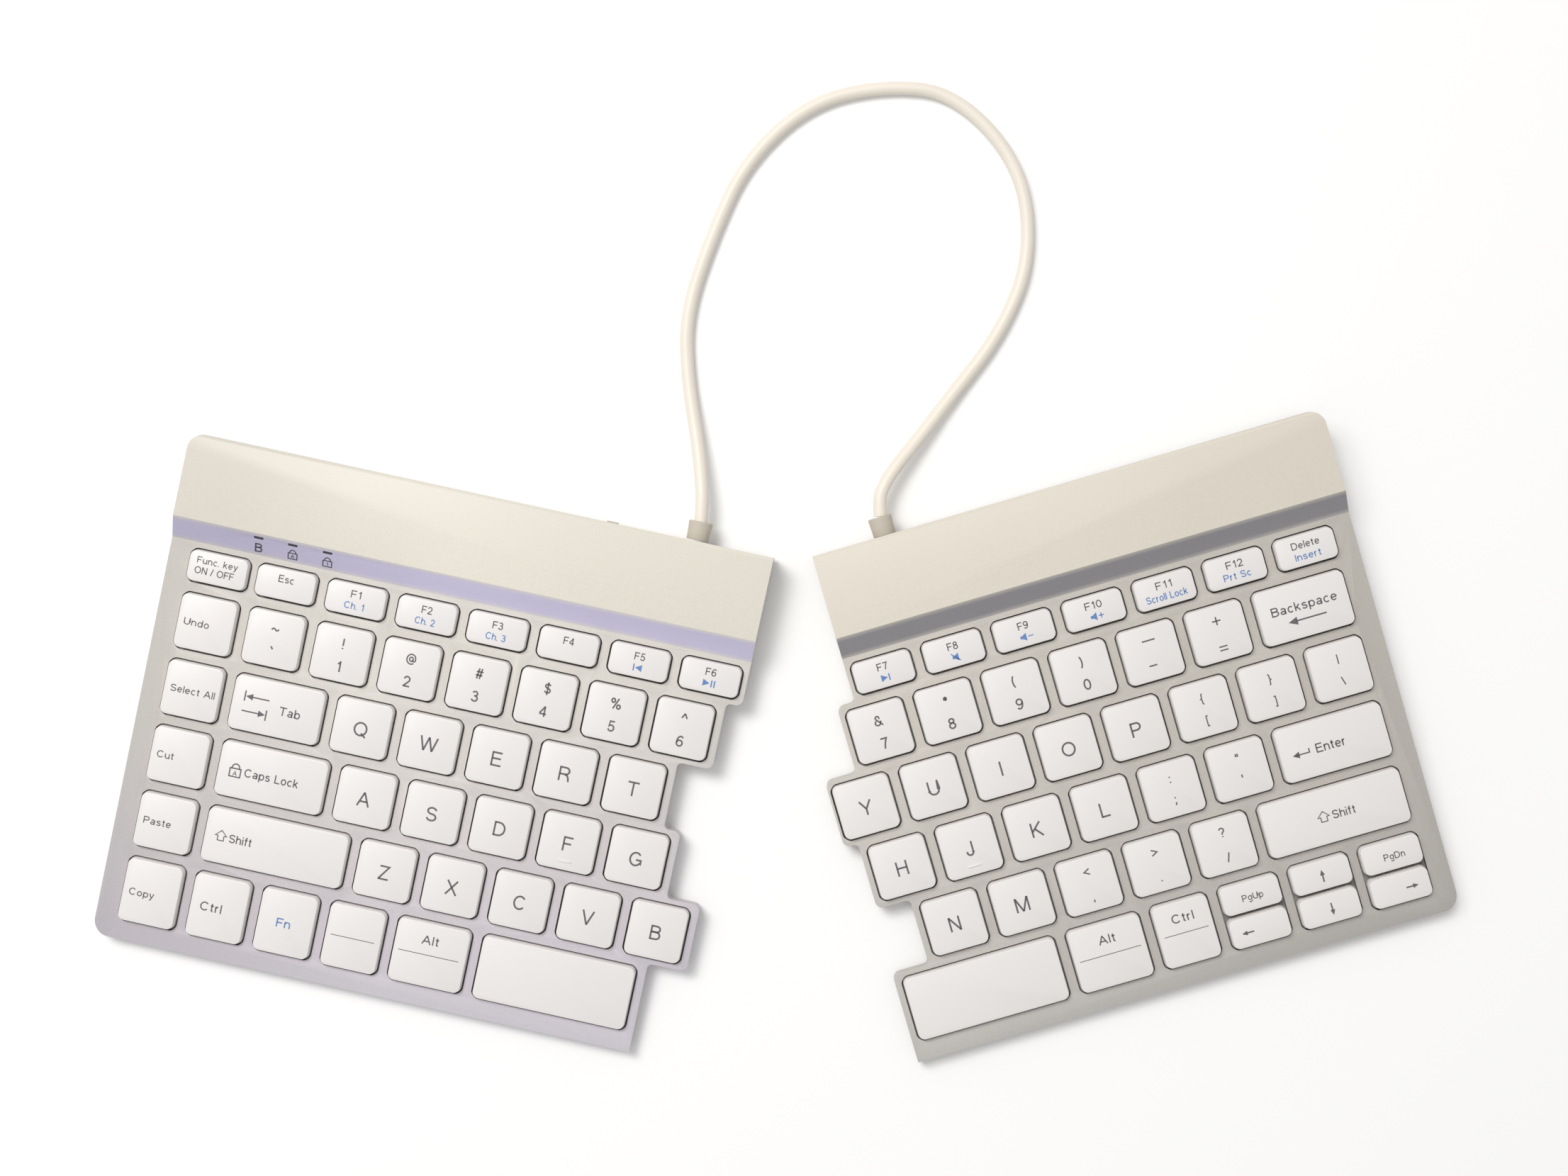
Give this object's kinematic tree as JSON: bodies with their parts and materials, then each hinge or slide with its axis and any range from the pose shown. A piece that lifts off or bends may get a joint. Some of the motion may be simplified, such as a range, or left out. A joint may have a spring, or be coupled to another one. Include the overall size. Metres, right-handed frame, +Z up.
{
  "type": "split keyboard",
  "caption": "Split ergonomic keyboard whose separate halves lie splayed, joined by a looping cable, with low chiclet keys in a stepped-edge deck and a raised rear housing.",
  "frame": {"origin": "centre of the footprint of both halves without the link cable, on the table under the feet", "axes": "+X to the user's right across both halves, +Y away from the user, +Z up"},
  "size_m": [0.3726, 0.2685, 0.0136],
  "materials": {
    "case_top": "satin, warm silver-beige",
    "case_bottom": "fine matt",
    "key_caps": "satin, warm white",
    "steel": "plain",
    "silicone": "soft matt",
    "scissor_plastic": "plain",
    "board": "solder mask",
    "battery_wrap": "foil wrap",
    "foot_rubber": "matt",
    "indicator": "clear, unlit",
    "switch_knob": "matt",
    "cable_jacket": "smooth ivory",
    "relief": "moulded, matt"
  },
  "bodies": {
    "left_half": {"left_battery": "battery_wrap", "left_bottom_case": "case_bottom", "left_charging_port": "steel", "left_circuit_board": "board", "left_dome_membrane": "silicone", "left_feet": "foot_rubber", "left_indicator_lenses": "indicator", "left_key_plate": "steel", "left_scissor_frames": "scissor_plastic", "left_screws": "steel", "left_strain_relief": "relief", "left_top_case": "case_top", "link_cable": "cable_jacket"},
    "right_half": {"right_bottom_case": "case_bottom", "right_circuit_board": "board", "right_dome_membrane": "silicone", "right_feet": "foot_rubber", "right_key_plate": "steel", "right_scissor_frames": "scissor_plastic", "right_screws": "steel", "right_strain_relief": "relief", "right_top_case": "case_top"},
    "power_switch": {"left_power_switch": "switch_knob"},
    "keys_left_edit_column": {"keys_left_edit_column": "key_caps"},
    "keys_left_function_row": {"keys_left_function_row": "key_caps"},
    "keys_left_modifiers": {"keys_left_modifiers": "key_caps"},
    "keys_left_number_row": {"keys_left_number_row": "key_caps"},
    "key_space_left": {"key_space_left": "key_caps"},
    "key_q": {"key_q": "key_caps"},
    "key_w": {"key_w": "key_caps"},
    "key_e": {"key_e": "key_caps"},
    "key_r": {"key_r": "key_caps"},
    "key_t": {"key_t": "key_caps"},
    "key_a": {"key_a": "key_caps"},
    "key_s": {"key_s": "key_caps"},
    "key_d": {"key_d": "key_caps"},
    "key_f": {"key_f": "key_caps"},
    "key_g": {"key_g": "key_caps"},
    "key_z": {"key_z": "key_caps"},
    "key_x": {"key_x": "key_caps"},
    "key_c": {"key_c": "key_caps"},
    "key_v": {"key_v": "key_caps"},
    "key_b": {"key_b": "key_caps"},
    "keys_right_function_row": {"keys_right_function_row": "key_caps"},
    "keys_right_number_row": {"keys_right_number_row": "key_caps"},
    "keys_right_punctuation": {"keys_right_punctuation": "key_caps"},
    "keys_right_wide": {"keys_right_wide": "key_caps"},
    "keys_right_modifiers_and_arrows": {"keys_right_modifiers_and_arrows": "key_caps"},
    "key_space_right": {"key_space_right": "key_caps"},
    "key_y": {"key_y": "key_caps"},
    "key_u": {"key_u": "key_caps"},
    "key_i": {"key_i": "key_caps"},
    "key_o": {"key_o": "key_caps"},
    "key_p": {"key_p": "key_caps"},
    "key_h": {"key_h": "key_caps"},
    "key_j": {"key_j": "key_caps"},
    "key_k": {"key_k": "key_caps"},
    "key_l": {"key_l": "key_caps"},
    "key_n": {"key_n": "key_caps"},
    "key_m": {"key_m": "key_caps"}
  },
  "joints": [
    {"name": "halves_splay", "type": "hinge", "parent": "left_half", "child": "right_half", "pos_m": [0.0061, 0.0492, 0], "axis": [0, 0, 1], "range_deg": [-20, 10], "deforming": ["link_cable"]},
    {"name": "power_switch_slide", "type": "slide", "parent": "left_half", "child": "power_switch", "axis": [0.9772, -0.2122, 0], "range_m": [0, 0.0024]},
    {"name": "keys_left_edit_column_press", "type": "slide", "parent": "left_half", "child": "keys_left_edit_column", "axis": [0.0075, 0.0346, -0.9994], "range_m": [0, 0.0016], "stiffness_N_per_m": 1500, "springref_m": -0.0005},
    {"name": "keys_left_function_row_press", "type": "slide", "parent": "left_half", "child": "keys_left_function_row", "axis": [0.0075, 0.0346, -0.9994], "range_m": [0, 0.0016], "stiffness_N_per_m": 2400, "springref_m": -0.0005},
    {"name": "keys_left_modifiers_press", "type": "slide", "parent": "left_half", "child": "keys_left_modifiers", "axis": [0.0075, 0.0346, -0.9994], "range_m": [0, 0.0016], "stiffness_N_per_m": 2100, "springref_m": -0.0005},
    {"name": "keys_left_number_row_press", "type": "slide", "parent": "left_half", "child": "keys_left_number_row", "axis": [0.0075, 0.0346, -0.9994], "range_m": [0, 0.0016], "stiffness_N_per_m": 2100, "springref_m": -0.0005},
    {"name": "key_space_left_press", "type": "slide", "parent": "left_half", "child": "key_space_left", "axis": [0.0075, 0.0346, -0.9994], "range_m": [0, 0.0016], "stiffness_N_per_m": 300, "springref_m": -0.0005, "deforming": ["left_dome_membrane", "left_scissor_frames"]},
    {"name": "key_q_press", "type": "slide", "parent": "left_half", "child": "key_q", "axis": [0.0075, 0.0346, -0.9994], "range_m": [0, 0.0016], "stiffness_N_per_m": 300, "springref_m": -0.0005},
    {"name": "key_w_press", "type": "slide", "parent": "left_half", "child": "key_w", "axis": [0.0075, 0.0346, -0.9994], "range_m": [0, 0.0016], "stiffness_N_per_m": 300, "springref_m": -0.0005},
    {"name": "key_e_press", "type": "slide", "parent": "left_half", "child": "key_e", "axis": [0.0075, 0.0346, -0.9994], "range_m": [0, 0.0016], "stiffness_N_per_m": 300, "springref_m": -0.0005},
    {"name": "key_r_press", "type": "slide", "parent": "left_half", "child": "key_r", "axis": [0.0075, 0.0346, -0.9994], "range_m": [0, 0.0016], "stiffness_N_per_m": 300, "springref_m": -0.0005},
    {"name": "key_t_press", "type": "slide", "parent": "left_half", "child": "key_t", "axis": [0.0075, 0.0346, -0.9994], "range_m": [0, 0.0016], "stiffness_N_per_m": 300, "springref_m": -0.0005},
    {"name": "key_a_press", "type": "slide", "parent": "left_half", "child": "key_a", "axis": [0.0075, 0.0346, -0.9994], "range_m": [0, 0.0016], "stiffness_N_per_m": 300, "springref_m": -0.0005},
    {"name": "key_s_press", "type": "slide", "parent": "left_half", "child": "key_s", "axis": [0.0075, 0.0346, -0.9994], "range_m": [0, 0.0016], "stiffness_N_per_m": 300, "springref_m": -0.0005},
    {"name": "key_d_press", "type": "slide", "parent": "left_half", "child": "key_d", "axis": [0.0075, 0.0346, -0.9994], "range_m": [0, 0.0016], "stiffness_N_per_m": 300, "springref_m": -0.0005},
    {"name": "key_f_press", "type": "slide", "parent": "left_half", "child": "key_f", "axis": [0.0075, 0.0346, -0.9994], "range_m": [0, 0.0016], "stiffness_N_per_m": 300, "springref_m": -0.0005},
    {"name": "key_g_press", "type": "slide", "parent": "left_half", "child": "key_g", "axis": [0.0075, 0.0346, -0.9994], "range_m": [0, 0.0016], "stiffness_N_per_m": 300, "springref_m": -0.0005},
    {"name": "key_z_press", "type": "slide", "parent": "left_half", "child": "key_z", "axis": [0.0075, 0.0346, -0.9994], "range_m": [0, 0.0016], "stiffness_N_per_m": 300, "springref_m": -0.0005},
    {"name": "key_x_press", "type": "slide", "parent": "left_half", "child": "key_x", "axis": [0.0075, 0.0346, -0.9994], "range_m": [0, 0.0016], "stiffness_N_per_m": 300, "springref_m": -0.0005},
    {"name": "key_c_press", "type": "slide", "parent": "left_half", "child": "key_c", "axis": [0.0075, 0.0346, -0.9994], "range_m": [0, 0.0016], "stiffness_N_per_m": 300, "springref_m": -0.0005},
    {"name": "key_v_press", "type": "slide", "parent": "left_half", "child": "key_v", "axis": [0.0075, 0.0346, -0.9994], "range_m": [0, 0.0016], "stiffness_N_per_m": 300, "springref_m": -0.0005},
    {"name": "key_b_press", "type": "slide", "parent": "left_half", "child": "key_b", "axis": [0.0075, 0.0346, -0.9994], "range_m": [0, 0.0016], "stiffness_N_per_m": 300, "springref_m": -0.0005},
    {"name": "keys_right_function_row_press", "type": "slide", "parent": "right_half", "child": "keys_right_function_row", "axis": [-0.0099, 0.034, -0.9994], "range_m": [0, 0.0016], "stiffness_N_per_m": 2100, "springref_m": -0.0005},
    {"name": "keys_right_number_row_press", "type": "slide", "parent": "right_half", "child": "keys_right_number_row", "axis": [-0.0099, 0.034, -0.9994], "range_m": [0, 0.0016], "stiffness_N_per_m": 1800, "springref_m": -0.0005},
    {"name": "keys_right_punctuation_press", "type": "slide", "parent": "right_half", "child": "keys_right_punctuation", "axis": [-0.0099, 0.034, -0.9994], "range_m": [0, 0.0016], "stiffness_N_per_m": 2400, "springref_m": -0.0005},
    {"name": "keys_right_wide_press", "type": "slide", "parent": "right_half", "child": "keys_right_wide", "axis": [-0.0099, 0.034, -0.9994], "range_m": [0, 0.0016], "stiffness_N_per_m": 900, "springref_m": -0.0005},
    {"name": "keys_right_modifiers_and_arrows_press", "type": "slide", "parent": "right_half", "child": "keys_right_modifiers_and_arrows", "axis": [-0.0099, 0.034, -0.9994], "range_m": [0, 0.0016], "stiffness_N_per_m": 2400, "springref_m": -0.0005},
    {"name": "key_space_right_press", "type": "slide", "parent": "right_half", "child": "key_space_right", "axis": [-0.0099, 0.034, -0.9994], "range_m": [0, 0.0016], "stiffness_N_per_m": 300, "springref_m": -0.0005, "deforming": ["right_dome_membrane", "right_scissor_frames"]},
    {"name": "key_y_press", "type": "slide", "parent": "right_half", "child": "key_y", "axis": [-0.0099, 0.034, -0.9994], "range_m": [0, 0.0016], "stiffness_N_per_m": 300, "springref_m": -0.0005},
    {"name": "key_u_press", "type": "slide", "parent": "right_half", "child": "key_u", "axis": [-0.0099, 0.034, -0.9994], "range_m": [0, 0.0016], "stiffness_N_per_m": 300, "springref_m": -0.0005},
    {"name": "key_i_press", "type": "slide", "parent": "right_half", "child": "key_i", "axis": [-0.0099, 0.034, -0.9994], "range_m": [0, 0.0016], "stiffness_N_per_m": 300, "springref_m": -0.0005},
    {"name": "key_o_press", "type": "slide", "parent": "right_half", "child": "key_o", "axis": [-0.0099, 0.034, -0.9994], "range_m": [0, 0.0016], "stiffness_N_per_m": 300, "springref_m": -0.0005},
    {"name": "key_p_press", "type": "slide", "parent": "right_half", "child": "key_p", "axis": [-0.0099, 0.034, -0.9994], "range_m": [0, 0.0016], "stiffness_N_per_m": 300, "springref_m": -0.0005},
    {"name": "key_h_press", "type": "slide", "parent": "right_half", "child": "key_h", "axis": [-0.0099, 0.034, -0.9994], "range_m": [0, 0.0016], "stiffness_N_per_m": 300, "springref_m": -0.0005},
    {"name": "key_j_press", "type": "slide", "parent": "right_half", "child": "key_j", "axis": [-0.0099, 0.034, -0.9994], "range_m": [0, 0.0016], "stiffness_N_per_m": 300, "springref_m": -0.0005},
    {"name": "key_k_press", "type": "slide", "parent": "right_half", "child": "key_k", "axis": [-0.0099, 0.034, -0.9994], "range_m": [0, 0.0016], "stiffness_N_per_m": 300, "springref_m": -0.0005},
    {"name": "key_l_press", "type": "slide", "parent": "right_half", "child": "key_l", "axis": [-0.0099, 0.034, -0.9994], "range_m": [0, 0.0016], "stiffness_N_per_m": 300, "springref_m": -0.0005},
    {"name": "key_n_press", "type": "slide", "parent": "right_half", "child": "key_n", "axis": [-0.0099, 0.034, -0.9994], "range_m": [0, 0.0016], "stiffness_N_per_m": 300, "springref_m": -0.0005},
    {"name": "key_m_press", "type": "slide", "parent": "right_half", "child": "key_m", "axis": [-0.0099, 0.034, -0.9994], "range_m": [0, 0.0016], "stiffness_N_per_m": 300, "springref_m": -0.0005}
  ]
}
